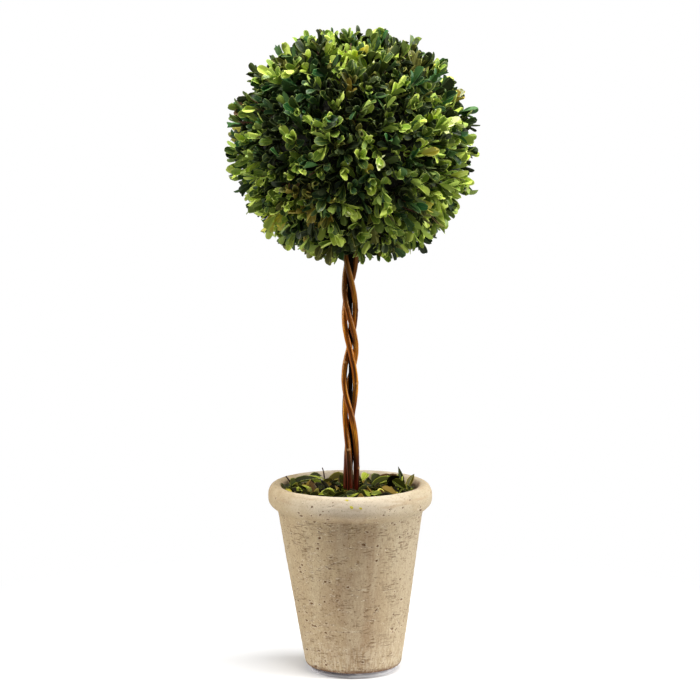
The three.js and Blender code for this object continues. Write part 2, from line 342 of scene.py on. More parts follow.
# Faces of many closed tubes: quads along them, and one flat face over each end
def tubeFaces(tubes, steps, sides):
    start = np.arange(tubes)[:, None, None] * (steps * sides)
    quads = (ringQuads(steps, sides)[None] + start).reshape(-1, 4)
    ring = np.arange(sides)
    below = ring[::-1][None] + start[:, 0]
    above = ring[None] + (steps - 1) * sides + start[:, 0]
    return [quads, np.concatenate([below, above])]


# Closed tubes along many lines as one piece
def addTubes(name, lines, radius, sides, material, **more):
    points = tubePoints(lines, radius, sides).reshape(-1, 3)
    return addPiece(name, points, tubeFaces(*lines.shape[:2], sides), [material], **more)


# Pot: the numbers follow the CAD pot, and pits and scratches are added to its skin.
# Foot to lip are (radius, height) on its outline, from the bottom up
pot = {
    "base": 4.8,
    "flatRadius": 38.8,
    "foot": (42.3, 9.6),
    "neck": (62.6, 138.3),
    "roll": (64.2, 142.3),
    "widest": (71.5, 154.6),
    "crest": (65.4, 164.3),
    "lip": (59.8, 162.6),
    "wall": 8.5,
    "shoulder": 136.3,
    "inside": 14.8,
    "lean": -3,
    "columns": 384,
    "wobble": (0.35, 160),  # height of the waves and their length
    "rough": (0.07, 9),
    "rings": (0.06, 1.3, 90),  # turning rings: depth, height for a radian of them, length of their waves
    "fades": (20, 8),  # heights over which the wobble and the others fade out at the foot
    "markSeed": 31,
    "markGroups": 70,
    "marks": 470,
    "groupSize": 7,
    "groupHeights": (8.8, 157.6),  # lowest and highest
    "markHeights": (7.8, 161.3),
    "markWidth": (0.42, 0.85),
    "markDepth": 0.7,
    "markRows": 222,  # rows of the outline that have marks: all up to the lip
    "scratches": 0.3,  # share of the marks
    "scratchSlim": (3, 9),  # length over width
    "pitSlim": (1, 3),
    "markRise": 0.2,  # how steeply the scratches run
    "fade": 1.3,  # how fast narrow marks get shallow
}
# Marks that show in front: direction, height, width, length over width and rise over length
frontMarks = [
    (244, 133, 0.7, 1.3, 0), (244, 127.3, 0.9, 1.6, 0.2), (242.2, 122, 0.75, 1.4, 0),
    (241.3, 117.5, 0.9, 1.5, 0), (287.6, 119.8, 0.65, 1.5, 0), (292.5, 120.5, 0.85, 1.3, 0),
    (292.3, 107.2, 0.9, 1.1, 0), (293.4, 112.9, 0.6, 1.4, 0), (274.6, 104.7, 0.65, 1, 0),
    (300.6, 116.6, 0.6, 1.5, 0), (313.5, 126, 0.8, 1.2, 0), (324, 127, 0.8, 1.2, 0),
    (322, 124, 0.6, 1.4, 0.2), (296.4, 139, 0.6, 1.2, 0), (320.1, 87, 0.85, 1, 0),
    (203.8, 65.2, 0.9, 1.2, 0), (256.2, 71.8, 0.75, 1.6, 0), (265.6, 132, 0.6, 2.6, -0.1),
    (242.6, 50.1, 0.75, 1.6, 0), (294.4, 63, 0.8, 1.5, 0.6), (292.8, 60.4, 0.6, 2.2, 0.8),
    (296.5, 61.6, 0.6, 1.6, -0.6), (245.6, 88.2, 0.8, 1.8, 0.1), (243.5, 86.4, 0.6, 1.4, 0),
    (229.5, 102.3, 0.65, 1.4, 0), (232.9, 95.3, 0.6, 1.2, 0), (212.4, 102.5, 0.65, 1.2, 0),
    (280.8, 15.7, 0.8, 1.5, 0), (236.4, 11.6, 0.8, 1.6, 0), (307.2, 13, 0.7, 1.4, 0),
    (205.3, 156.9, 0.8, 1.4, 0.6), (235.7, 158.5, 0.7, 1, 0), (231.4, 149.2, 0.8, 1.3, 0),
    (258, 161, 0.6, 1, 0), (316.3, 159.2, 0.8, 1.1, 0), (308.9, 153.6, 0.8, 1.1, 0),
    (298.2, 152.4, 0.6, 1.2, 0), (212.3, 126.7, 0.7, 1.6, 0), (336.5, 47, 0.7, 2, 0.6),
    (251.8, 124.8, 0.5, 8, 0.05), (276.6, 81.6, 0.5, 9, 0), (254.1, 104.9, 0.5, 9, 0.4),
    (260, 91.7, 0.5, 6, 0), (260.8, 43.4, 0.5, 18, 0.03), (264.4, 62, 0.5, 6, 0),
    (269.2, 119.3, 0.5, 7, 0), (277.4, 124.8, 0.5, 4, 0), (256.9, 157.6, 0.5, 10, 0.28),
    (268.7, 135, 0.5, 4, 0), (281.5, 119.6, 0.5, 7, 0), (289.9, 53.5, 0.5, 7, 0),
    (266.9, 110.8, 0.5, 3, 0),
]


# Radius of the pot's straight outer wall at a height
def wallRadius(height):
    (lowRadius, lowHeight), (highRadius, highHeight) = pot["foot"], pot["neck"]
    return lowRadius + (highRadius - lowRadius) * (height - lowHeight) / (highHeight - lowHeight)


# From the middle of the underside, up the wall, over the rim and down to the middle of the inside.
# The numbers taken from or added to the named points set off the curves' control points
def potProfile(p):
    base, foot, neck, roll, widest, crest, lip = (
        p[name] for name in ("base", "foot", "neck", "roll", "widest", "crest", "lip"))
    inner, inFloor = (wallRadius(p[name]) - p["wall"] for name in ("shoulder", "inside"))
    return profileOf(
        (2, base),
        (6, (p["flatRadius"], base)),
        (8, (foot[0] - 0.7, base), foot),
        (168, neck),
        (5, (neck[0] + 0.3, roll[1] - 1), roll),
        (10, (widest[0] - 1.7, roll[1] + 3.6), (widest[0] - 0.8, widest[1] - 5)),
        (18, (widest[0] + 0.4, widest[1] - 1), (widest[0] + 0.2, crest[1] - 1), crest),
        (7, (lip[0] + 1, crest[1]), lip),
        (14, (lip[0] - 2.6, 158.5), (inner, p["shoulder"])),
        (8, (inFloor, p["inside"])),
        (4, (2, p["inside"])),
    )


# The pot leans: each level is shifted sideways in proportion to its height
def leaned(points):
    share = (points[..., 2:] - pot["base"]) / (pot["crest"][1] - pot["base"])
    return points + share * (pot["lean"], 0, 0)


# Depth of the marks in the pot's skin. A mark is a hollow, exp(-(along / (width * slimness))^2
# - (across / width)^2): pits are short ones and scratches long ones. They gather in groups
def markDepths(points, p):
    random = np.random.default_rng(p["markSeed"])
    count = p["marks"]
    groups = np.stack([random.uniform(0, fullTurn, p["markGroups"]),
                       random.uniform(*p["groupHeights"], p["markGroups"])], -1)
    group = groups[random.integers(0, p["markGroups"], count)]
    spread = random.normal(size=(count, 2)) * p["groupSize"]
    low, high = p["markWidth"]
    scratch = random.random(count) < p["scratches"]
    marks = np.stack([
        group[:, 0] + spread[:, 0] / wallRadius(group[:, 1]),
        np.clip(group[:, 1] + spread[:, 1], *p["markHeights"]),
        np.where(scratch, low, low + (high - low) * random.uniform(0, 1, count) ** 2),
        np.where(scratch, random.uniform(*p["scratchSlim"], count), random.uniform(*p["pitSlim"], count)),
        random.normal(size=count) * p["markRise"],
    ], -1)
    front = np.array(frontMarks, float)
    front[:, 0] = np.radians(front[:, 0])
    turn = np.arctan2(points[..., 1], points[..., 0])
    radius = np.hypot(points[..., 0], points[..., 1])
    total = np.zeros(turn.shape)
    for place, height, width, slim, rise in np.concatenate([marks, front]):
        along = ((turn - place + np.pi) % fullTurn - np.pi) * radius
        across = points[..., 2] - height - rise * along
        hollow = np.exp(-((along / (width * slim)) ** 2) - (across / width) ** 2)
        total = np.maximum(total, hollow * min(width / high, 1) ** p["fade"])
    total[p["markRows"]:] = 0
    return total


# Chalky wash over pinkish clay. The rim is paler, and the lowest part has chalky runs and a darker brown
# band at the foot. Painted shade and light: the wall is pinker and darker down its middle and paler on the
# right, the rim's chalk is fuller in the middle than at the sides and on the right, and the marks have pale
# rims as painted highlights
def clayMaterial():
    material, tree, shader = newMaterial("chalky_clay", Roughness=0.92, Specular_IOR_Level=0.2)
    place = objectPlace(tree)
    across, height = partOf(tree, place, "X"), partOf(tree, place, "Z")
    aside = maths(tree, "ABSOLUTE", across, 0.0)
    right = step(tree, across, 0.008, 0.055)
    rim, wall = step(tree, height, 0.142, 0.156), step(tree, height, 0.15, 0.138)
    inside = step(tree, lengthOf(tree, stretched(tree, place, (1, 1, 0))), 0.0595, 0.0575)
    clouds = noise(tree, place, 26, 4, 0.6)
    bands = noise(tree, place, (70, 70, 7), 3, 0.5)
    streaks = noise(tree, place, (640, 640, 70), 4, 0.7)
    grain = noise(tree, place, 680, 6, 0.8)
    smudges = step(tree, noise(tree, place, (36, 36, 260), 3, 0.5), 0.5, 0.68)
    pink = step(tree, maths(tree, "ADD", clouds, bands), 0.7, 1.1)
    # chalk on the rim, fullest in the middle and thinner towards both sides and on the right: painted light
    # and shade on the rim
    chalk = summed(tree, 0.5, (0.25, step(tree, clouds, 0.3, 0.6)), (-0.7, step(tree, aside, 0.03, 0.066)),
                   (-0.25, right))
    patches = step(tree, noise(tree, place, 60, 3, 0.6), 0.47, 0.6)
    lines = product(tree, step(tree, noise(tree, place, (130, 130, 900), 3, 0.6), 0.55, 0.62), patches, wall)
    specks = product(tree, step(tree, noise(tree, place, (380, 380, 620), 2, 0.5), 0.62, 0.69), wall)
    cells = addNode(tree, "ShaderNodeTexVoronoi", {"Vector": place, "Scale": 300}).outputs
    some = step(tree, partOf(tree, cells["Color"], "X"), 0.84, 0.9)
    groups = step(tree, noise(tree, place, 30, 2, 0.5), 0.44, 0.58)
    dots = product(tree, step(tree, cells["Distance"], 0.24, 0.1), some, groups)
    ragged = ranged(tree, noise(tree, place, 1100, 3, 0.6), 0.3, 1.6, 0.35, 0.65)
    mark = product(tree, ownAttribute(tree, "mark", "Fac"), ragged)
    markHighlights = step(tree, noise(tree, place, (620, 620, 900), 3, 0.6), 0.52, 0.62)
    colour = layered(
        tree, (180, 160, 126),
        # painted shade: pinker and darker down the middle of the front and back, in patches, between the
        # side lamps
        ((161, 138, 108), step(tree, aside, 0.036, 0.012), pink),
        ((196, 180, 149), step(tree, bands, 0.46, 0.66), 0.4),  # wash
        # painted light: paler on the right, where the stronger lamp falls
        ((192, 181, 158), right, 0.45),
        ((222, 209, 187), rim, chalk),
        ((132, 106, 80), step(tree, streaks, 0.45, 0.62), maths(tree, "ADD", wall, 0.2), 0.22),
        ((178, 152, 120), smudges, rim, 0.5),
        ((150, 130, 100), step(tree, aside, 0.008, 0.04), step(tree, height, 0.125, 0.04), 0.32),  # darker low down towards both sides
        ((196, 182, 158), step(tree, streaks, 0.54, 0.44), step(tree, height, 0.05, 0.01), 0.55),  # runs
        ((118, 92, 68), step(tree, grain, 0.52, 0.66), 0.5),
        ((208, 194, 168), step(tree, grain, 0.47, 0.34), 0.4),
        ((140, 104, 74), inside, rim, step(tree, clouds, 0.4, 0.6), 0.8),  # stain inside the rim
        ((106, 78, 50), lines, 0.6),
        ((112, 82, 50), specks, 0.55),
        ((104, 74, 46), dots, 0.5),
        # pale rims round the marks: painted highlight where their edges catch the light
        ((224, 211, 186), maths(tree, "ADD", markHighlights, 0.25), step(tree, mark, 0.015, 0.09), 0.46),
        ((92, 57, 28), step(tree, mark, 0.1, 0.52), 0.92),  # darker brown in the marks
        ((94, 58, 40), step(tree, height, 0.0092, 0.0054), step(tree, streaks, 0.3, 0.5), 0.85),  # hem
    )
    hollows = maths(tree, "MAXIMUM", maths(tree, "MAXIMUM", dots, specks), lines)
    dressed(tree, shader, colour, maths(tree, "SUBTRACT", product(tree, grain, 0.6), hollows), 0.7, 0.0006)
    return material


# The wall wobbles, is rough and has turning rings, depth * sin(height / ring height + 2 * ripple)
def addPot(p):
    grid, outward = turnedGrid(potProfile(p), p["columns"])
    depth = markDepths(grid, p)
    climb = grid[..., 2] - p["base"]
    (wobble, broad), (rough, fine), (ringDepth, ringHeight, waves) = p["wobble"], p["rough"], p["rings"]
    rings = ringDepth * np.sin(grid[..., 2] / ringHeight + 2 * ripple(grid, waves, 9, 2))
    slow, fast = (np.clip(climb / fade, 0, 1) for fade in p["fades"])
    lift = wobble * ripple(grid, broad, 4, 2) * slow + (rings + rough * ripple(grid, fine, 12, 2)) * fast
    points, faces = closedTurning(leaned(grid + outward * (lift - p["markDepth"] * depth)[..., None]))
    marks = np.concatenate([depth.ravel(), [0, 0]])
    piece = addPiece("pot_shell", points, faces, [clayMaterial()], attributes={"mark": marks})
    settle(piece, "pot_clay", "pot")


addPot(pot)
print("pot made")

# Foot disc: clear, with rounded edges
disc = {"radius": 37, "thick": 4.5, "round": 0.8, "columns": 160}


# Clear, with painted light and shade in its colour: darker high up and on the left, paler near the table and
# on the right, with painted glints; faint scuffs roughen it
def clearMaterial():
    material, tree, shader = newMaterial("clear_disc", IOR=1.45, Alpha=0.6)
    place = objectPlace(tree)
    low = step(tree, partOf(tree, place, "Z"), 0.0034, 0.0012)
    right = step(tree, partOf(tree, place, "X"), -0.018, 0.03)
    paintedGlints = step(tree, noise(tree, place, (90, 90, 420), 2, 0.5), 0.5, 0.62)
    pale = summed(tree, 0.0, (0.6, low), (0.45, right), (0.3, paintedGlints))
    tree.links.new(layered(tree, (112, 104, 110), ((255, 253, 255), pale)), shader.inputs["Base Color"])
    scuffs = step(tree, noise(tree, place, 140, 5, 0.6), 0.45, 0.75)
    tree.links.new(ranged(tree, scuffs, 0.05, 0.25), shader.inputs["Roughness"])
    return material


def addDisc(d):
    high, far, edge = d["thick"], d["radius"], d["round"]
    profile = profileOf((1, 0), (6, (far - edge, 0)), (5, (far, 0), (far, edge)), (2, (far, high - edge)),
                        (5, (far, high), (far - edge, high)), (6, (1, high)))
    points, faces = closedTurning(turnedGrid(profile, d["columns"])[0])
    piece = addPiece("foot_clear", points, faces, [clearMaterial()], sharpAngle=40)
    settle(piece, "clear_foot", "foot_disc")


addDisc(disc)
print("foot disc made")

# Canes: the same helix as the CAD canes, with fluted bark, nodes and cut-twig scars
cane = {
    "places": (0, 104, 258),
    "footRadius": 2.75,
    "tipRadius": 2.35,
    "foot": 112,
    "tip": 424,
    "twistRadius": 4.8,
    "start": (172, 342),  # direction of the first cane at a height
    "rate": (3.2, 0.0),  # degrees a millimetre above, and at the filling
    "ease": 245,
    "fillTop": 156.5,
    "turnSway": (9, 29),
    "outSway": (0.25, 21),
    "footShift": (1.1, 250, 165),  # how far right the feet are set, and between which heights
    "sides": 24,
    "steps": 300,
    "nodeEvery": 46,
    "nodeStart": (12, 17),  # for the first cane, and how much more for each next one
    "nodeLength": 1.6,
    "nodeSwell": 0.28,
    "scarTurn": 2.4,  # radians from one scar to the next
    "scarWidth": 0.35,
    "flutes": 0.05,
    "bark": (0.08, 5),  # roughness and its wavelength
}
# Dark strand between the canes: its radius and place aside are those at the foot, above it and near the top
innerCane = {
    "radius": (1.3, 1.7, 2.5),
    "aside": (0.05, 0.4, 0.1),
    "footRange": (187, 178),
    "topRange": (320, 345),
    "foot": 112,
    "tip": 424,
    "crooked": ((0.2, 19), (0.3, 23)),  # sway to the side and to the front, and height for a radian of it
    "sides": 16,
    "steps": 120,
}


# 0 before the first of two heights and 1 past the second, with a smooth step between
def smoothShare(height, start, end):
    share = np.clip((height - start) / (end - start), 0, 1)
    return share * share * (3 - 2 * share)


# Direction of a cane round the stem: a steady twist that eases off below the height "ease", and a sway
def caneDirection(c, index, height):
    startTurn, startHeight = c["start"]
    above, end = c["rate"]
    first = startTurn + above * (startHeight - np.maximum(height, c["ease"]))
    below = np.maximum(c["ease"] - np.maximum(height, c["fillTop"]), 0)
    slowing = (above - end) / (c["ease"] - c["fillTop"])
    sway = c["turnSway"][0] * np.sin(height / c["turnSway"][1] + index * 2)
    return np.radians(first + below * (above - slowing * below / 2) + c["places"][index] + sway)


# The middle between the canes, to the side: the stem's own line, and the whole shift at the feet
def stemMiddle(height):
    shift, high, low = cane["footShift"]
    return stemX + shift * smoothShare(height, high, low)


# A cane's middle line: at its direction and its distance from the stem's middle, which sways too
def caneLine(c, index, height):
    out = c["twistRadius"] + c["outSway"][0] * np.sin(height / c["outSway"][1] + index * 2)
    line = around(out, caneDirection(c, index, height), height)
    line[:, 0] += stemMiddle(height)
    return line


# Bark with fibres along the cane, golden where it is worn, with darker tones towards both ends and pale
# scars.
# Each of the tones is the dark between the fibres and the fibres' own colour
def barkMaterial(name, tones, worn, gloss):
    material, tree, shader = newMaterial(name, Roughness=0.3, Specular_IOR_Level=gloss,
                                         Specular_Tint=(1.0, 0.68, 0.28, 1))
    grain = ownAttribute(tree, "grain", "Vector")
    height = partOf(tree, objectPlace(tree), "Z")
    fibres = noise(tree, grain, (620, 620, 26), 5, 0.6)
    blotches = noise(tree, grain, (110, 110, 30), 3, 0.5)
    between = step(tree, fibres, 0.39, 0.6)
    middle, foot, tip = (mixed(tree, between, paint(*dark), paint(*light)) for dark, light in tones)
    gold = product(tree, step(tree, blotches, 0.42, 0.62), step(tree, fibres, 0.4, 0.62), 0.8)
    scars = product(tree, step(tree, ownAttribute(tree, "scar", "Fac"), 0.4, 0.95), 0.7)
    colour = mixed(tree, gold, middle, paint(*worn))
    colour = mixed(tree, step(tree, height, 0.208, 0.182), colour, foot)
    colour = mixed(tree, product(tree, step(tree, height, 0.285, 0.36), 0.85), colour, tip)
    dressed(tree, shader, mixed(tree, scars, colour, paint(206, 158, 104)), fibres, 0.5, 0.0005)
    return material


# A piece of bark round a line, with its own grain: the place round the cane and along it
def addBark(name, line, radius, grain, scar, material):
    attributes = {"grain": grain.reshape(-1, 3) * mm, "scar": scar.ravel()}
    return addTubes(name, line[None], radius[None], radius.shape[1], material, sharpAngle=60,
                    attributes=attributes)


# A ring at every node swells the cane by swell * exp(-(distance / length)^2), a scar sits on one side
# of each node, and flutes run along it: 3 broad ones round it and 5 finer ones
def addCane(c, index, material):
    height = np.linspace(c["foot"], c["tip"], c["steps"])
    line = caneLine(c, index, height)
    rise = height - c["foot"]
    taper = c["footRadius"] + (c["tipRadius"] - c["footRadius"]) * rise / rise[-1]
    turn = ringTurns(c["sides"])
    climb = height + c["nodeStart"][1] * index + c["nodeStart"][0]
    away = climb % c["nodeEvery"] - c["nodeEvery"] / 2
    node = np.exp(-((away / c["nodeLength"]) ** 2))[:, None]
    side = c["scarTurn"] * np.floor(climb / c["nodeEvery"])[:, None] + index
    scar = node * np.exp(-((1 - np.cos(turn - side)) / c["scarWidth"]) ** 2)
    flutes = c["flutes"] * (np.cos(3 * turn + 0.02 * height[:, None]) + 0.6 * np.cos(5 * turn - index)) / 1.6
    radius = taper[:, None] * (1 + flutes - c["flutes"]) + c["nodeSwell"] * (0.5 * node + scar)
    points = tubePoints(line[None], radius[None], c["sides"])[0]
    rough, wavelength = c["bark"]
    radius = radius + rough * ripple(points * (2, 2, 0.35), wavelength, 20 + index)
    grain = spun(np.stack([taper, height + 400 * index], -1), turn)
    piece = addBark(f"cane_bark_{index + 1}", line, radius, grain, scar, material)
    settle(piece, "cane_bark", f"cane_{index + 1}")


# The dark strand is a little crooked
def addInnerCane(c, material):
    height = np.linspace(c["foot"], c["tip"], c["steps"])
    low, top = smoothShare(height, *c["footRange"]), smoothShare(height, *c["topRange"])
    thick, aside = (middle + (atTop - middle) * top + (atFoot - middle) * low
                    for atFoot, middle, atTop in (c["radius"], c["aside"]))
    (sideSway, sideHeight), (frontSway, frontHeight) = c["crooked"]
    line = np.stack([stemMiddle(height) + (aside + sideSway * np.sin(height / sideHeight)),
                     frontSway * np.cos(height / frontHeight), height], -1)
    turn = ringTurns(c["sides"])
    radius = thick[:, None] * (1 + 0.05 * np.cos(3 * turn + 0.03 * height[:, None]))
    grain = spun(np.stack([np.full(len(height), c["radius"][1]), height], -1), turn)
    piece = addBark("inner_cane_bark", line, radius, grain, np.zeros(radius.shape), material)
    settle(piece, "dark_bark", "inner_cane")


caneTones = [((76, 29, 7), (168, 88, 10)), ((30, 7, 5), (94, 27, 14)), ((44, 19, 8), (104, 56, 18))]
caneBark = barkMaterial("cane_bark", caneTones, (238, 160, 38), 0.55)
for number in range(len(cane["places"])):
    addCane(cane, number, caneBark)
addInnerCane(innerCane, barkMaterial("dark_bark", [((12, 9, 8), (20, 14, 11))] * 3, (30, 22, 17), 0))
print("canes made")

# Box leaf on a grid: along goes from root to tip and across from edge to edge. The upper face has
# a paler strip along each edge and on the midrib, the underside is plainer, and both meet in a sharp edge.
# The edge strips are partly the leaf's own pale margin and partly painted highlight where light catches them
leafForm = {
    "along": (0, 0.16, 0.4, 0.64, 0.84, 0.95, 1),
    "across": (-1, -0.89, -0.035, 0.035, 0.89, 1),
}
litterForm = {
    "along": (0, 0.12, 0.32, 0.54, 0.76, 0.92, 1),
    "across": (-1, -0.9, -0.5, -0.06, 0.06, 0.5, 0.9, 1),
}
leafThick = 0.45
stalkWidth = 0.1  # of the widest
tipDraw = 0.015  # how far the tip's corners are drawn in
leafSizes = ("length", "width", "fold", "cup", "twist", "curl", "notch", "pointed")


# Half width over the widest, never under the stalk's. A round tip is u^0.7 * sqrt(1 - (0.985 u)^3.2) / 0.65,
# a pointed one sin(pi u^0.9)^0.9
def leafHalfWidth(u, pointed):
    rounded = u**0.7 * np.sqrt(1 - (0.985 * u) ** 3.2) / 0.65
    sharp = np.sin(np.pi * u**0.9) ** 0.9
    return np.maximum(rounded + (sharp - rounded) * pointed, stalkWidth)


# The leaf's vertices as u from root to tip, v from edge to edge and level (1 on top, 0 at the edge,
# -1 below), and its faces with their slots: 0 upper, 1 under, 2 edge, which the pale strips have too.
# On one half of the upper face the strips from paleFrom to the edge have the underside's colour: painted
# light, as if that half of a folded leaf faced the lamp
def leafTemplate(form, paleFrom=1.0):
    rows, tops = len(form["along"]), len(form["across"])
    across = np.array(form["across"])
    u = np.concatenate([np.repeat(form["along"], tops), form["along"]])
    v = np.concatenate([np.tile(across, rows), np.zeros(rows)])
    level = np.concatenate([np.tile(np.abs(across) < 1, rows), -np.ones(rows)])
    top = np.arange(rows * tops).reshape(rows, tops)
    under = np.stack([top[:, -1], rows * tops + np.arange(rows), top[:, 0]], -1)

    def gridQuads(index):
        return np.stack([index[:-1, :-1], index[1:, :-1], index[1:, 1:], index[:-1, 1:]], -1).reshape(-1, 4)

    left, right = across[:-1], across[1:]
    pale = (left == -1) | (right == 1) | (left * right < 0)
    strips = np.where(pale, 2, np.where(left >= paleFrom, 1, 0))
    slots = np.concatenate([np.tile(strips, rows - 1), np.ones(2 * (rows - 1))])
    ends = np.stack([np.append(top[0], under[0, 1]), np.append(top[-1][::-1], under[-1, 1])])
    quads = np.concatenate([gridQuads(top), gridQuads(under)])
    return {"u": u, "v": v, "level": level, "quads": quads, "ends": ends, "slots": slots}


leafMould = leafTemplate(leafForm)
litterMould = leafTemplate(litterForm, 0.5)


# Many leaves at once. A point is root + along * length * u + side * half width * v, raised towards
# "facing" by width * (fold * |v| + cup * v^2 + twist * u * v) + curl * length * u^2 and half the
# thickness. The notch draws the tip's middle in, and the tip's corners are drawn in a little
def leafPoints(leaves, mould):
    u, v, level = mould["u"], mould["v"], mould["level"]
    size = {key: leaves[key][:, None] for key in leafSizes}
    width = size["width"] * leafHalfWidth(u, size["pointed"])
    tip = u == 1
    reach = u - tip * (np.abs(v) > 0.5) * tipDraw - tip * (np.abs(v) < 0.5) * size["notch"]
    rise = width * (size["fold"] * np.abs(v) + size["cup"] * v**2 + size["twist"] * u * v)
    rise = rise + size["curl"] * size["length"] * u**2 + level * leafThick / 2
    along = leaves["along"]
    side = unit(np.cross(leaves["facing"], along))
    facing = np.cross(along, side)
    parts = (along, size["length"] * reach), (side, width / 2 * v), (facing, rise)
    return leaves["root"][:, None] + sum(way[:, None] * part[..., None] for way, part in parts)


# Many leaves of one tint as one piece
def addLeaves(name, leaves, materials, mould):
    points = leafPoints(leaves, mould)
    count, corners = points.shape[:2]
    start = np.arange(count)[:, None, None] * corners
    quads = (mould["quads"][None] + start).reshape(-1, 4)
    ends = (mould["ends"][None] + start).reshape(-1, mould["ends"].shape[1])
    slots = np.concatenate([np.tile(mould["slots"], count), np.full(len(ends), 2)])
    return addPiece(name, points.reshape(-1, 3), [quads, ends], materials, slots=slots, sharpAngle=55)


# One piece for each tint
def addTints(kind, leaves, materials, mould, slot, node):
    for index, name in enumerate(materials):
        part = picked(leaves, leaves["tint"] == index)
        settle(addLeaves(f"{kind}_{name}", part, materials[name], mould), slot, node)


# Numbers of the tints that leaves or sprays are given, by the tints' shares
def dealt(tints, count, random):
    shares = np.array([tint[0] for tint in tints.values()], float)
    return random.choice(len(shares), count, p=shares / shares.sum())


# Forms of leaves, drawn evenly from a range for each
def drawn(ranges, count, random):
    return {key: random.uniform(*ends, count) for key, ends in ranges.items()}


# The same form for all of a few leaves
def sameForm(form, count):
    return {key: np.full(count, value) for key, value in form.items()}


# Tints: share of the sprays, and the plain colours of the upper face, the underside and the edge; the edge's
# paler colour is partly painted highlight
leafTints = {
    "shade": (5, (31, 39, 22), (45, 53, 30), (73, 82, 42)),
    "dusk": (6, (33, 45, 27), (47, 61, 35), (80, 95, 48)),
    "deep": (19, (45, 58, 33), (73, 86, 45), (116, 128, 62)),
    "forest": (12, (38, 65, 36), (64, 92, 47), (104, 130, 61)),
    "mid": (18, (67, 89, 39), (106, 123, 56), (158, 170, 77)),
    "olive": (13, (94, 94, 41), (119, 120, 57), (171, 170, 80)),
    "fresh": (11, (124, 152, 57), (151, 172, 76), (203, 217, 99)),
    "lime": (9, (196, 215, 86), (202, 219, 102), (232, 243, 130)),
    "blue": (5, (46, 95, 49), (76, 117, 62), (114, 151, 76)),
    "ochre": (1.5, (150, 133, 50), (160, 144, 64), (190, 175, 86)),
    "yellow": (2.5, (230, 218, 83), (222, 212, 97), (243, 237, 131)),
    "pale": (1, (230, 237, 160), (224, 231, 158), (244, 248, 197)),
    "dry": (0.3, (100, 72, 44), (116, 88, 56), (140, 112, 72)),
}
leafShine = {"shade": 0.4, "dusk": 0.6}  # duller than the others
leafFaces = {"upper": (0.34, 0.38), "under": (0.5, 0.24), "edge": (0.4, 0.4)}  # roughness and gloss


def leafMaterials(name, tint, shine):
    made = []
    for (face, (roughness, gloss)), shown in zip(leafFaces.items(), tint[1:]):
        values = {"Base_Color": paint(*shown), "Roughness": roughness, "Specular_IOR_Level": gloss * shine}
        made.append(newMaterial(f"{name}_{face}", Specular_Tint=(0.88, 0.95, 0.76, 1), **values)[0])
    return made


tintMaterials = {name: leafMaterials(f"leaf_{name}", tint, leafShine.get(name, 1))
                 for name, tint in leafTints.items()}

# Ball: the source's rule carried to finer twigs. Branches leave the core in an even spread, fork once,
# and each fork carries opposite pairs of leaves, every pair a quarter turn on from the one below
ball = {
    "seed": 23,
    "middle": (-2.3, 0, 458.5),
    "width": 217,
    "height": 203,
    "squareness": 2.2,
    "bulge": {"rise": -38, "share": 0.07, "power": 5},  # the ball is fuller at the lower right
    "core": 0.7,
    "coreRough": (0.03, 24),  # roughness, and its wavelength where the radius is 100
    "coreGrid": (60, 96),
    "branches": 365,
    "jitter": 0.1,
    "sink": 0.08,
    "forks": 3,
    "forkAngle": 0.125,
    "forkLean": (0.7, 1.3),
    "twigEnd": (0.74, 0.91),
    "bend": 0.14,
    "twigRadius": (0.75, 0.4),
    "twigGrid": (5, 5),  # steps and sides
    "green": 0.6,  # share of the twigs that aren't brown
    "turnSway": 0.4,  # radians by which forks and leaves stray round their twig
    "pairSway": 0.05,
    "tiltSway": 13,
    "rollSway": 0.6,
    "sway": 0.15,  # how far a pair's own axis strays from the twig's
    "leafLength": (11.5, 18),
    "leafSlim": (0.34, 0.53),  # width over length
    "leafRanges": {"fold": (0.0, 0.28), "cup": (0.0, 0.2), "twist": (-0.25, 0.25), "curl": (-0.2, 0.12)},
    "notches": (-0.01, 0.0, 0.03, 0.05),
    "tips": (0.0, 0.0, 0.25),
    "full": 0.88,  # share of leaves that haven't dropped
    "reach": 1.05,
    "stemSpace": 9,
    "youngAndLitTips": 0.42,  # share of sprays whose tip leaves are a step lighter, as young growth and as painted light on the outermost leaves
    "bareTwigs": 26,
    "bareSpread": (1, 1, 0.8),  # fewer stand up or hang
    "bareEnd": (0.88, 0.96),
    "bareSway": 0.12,
    "bareBow": (0.5, 2.5),
}
# Pairs up a twig: place on it, tilt, size, turn, and the chance that a leaf is a step darker;
# the chance of one more step is half of that. The inner pairs darken most often: painted shade deep in the
# ball
pairs = [
    (0.25, 42, 0.9, 90, 0.97),
    (0.55, 31, 1.0, 0, 0.85),
    (0.8, 21, 1.0, 90, 0.48),
    (1.0, 12, 0.88, 0, 0.18),
]
# A step lighter and a step darker; a tint that isn't named stays
lighter = {"shade": "deep", "dusk": "forest", "deep": "mid", "forest": "blue", "mid": "fresh",
           "olive": "fresh", "fresh": "lime"}
darker = {"deep": "shade", "forest": "dusk", "mid": "forest", "olive": "deep", "fresh": "mid",
          "lime": "fresh", "yellow": "lime", "pale": "lime", "ochre": "olive", "blue": "forest"}
# Bare twig ends that show, by direction and rise
bareEnds = [(180, 55), (184, 50), (262, 50), (257, 57), (268, 54)]
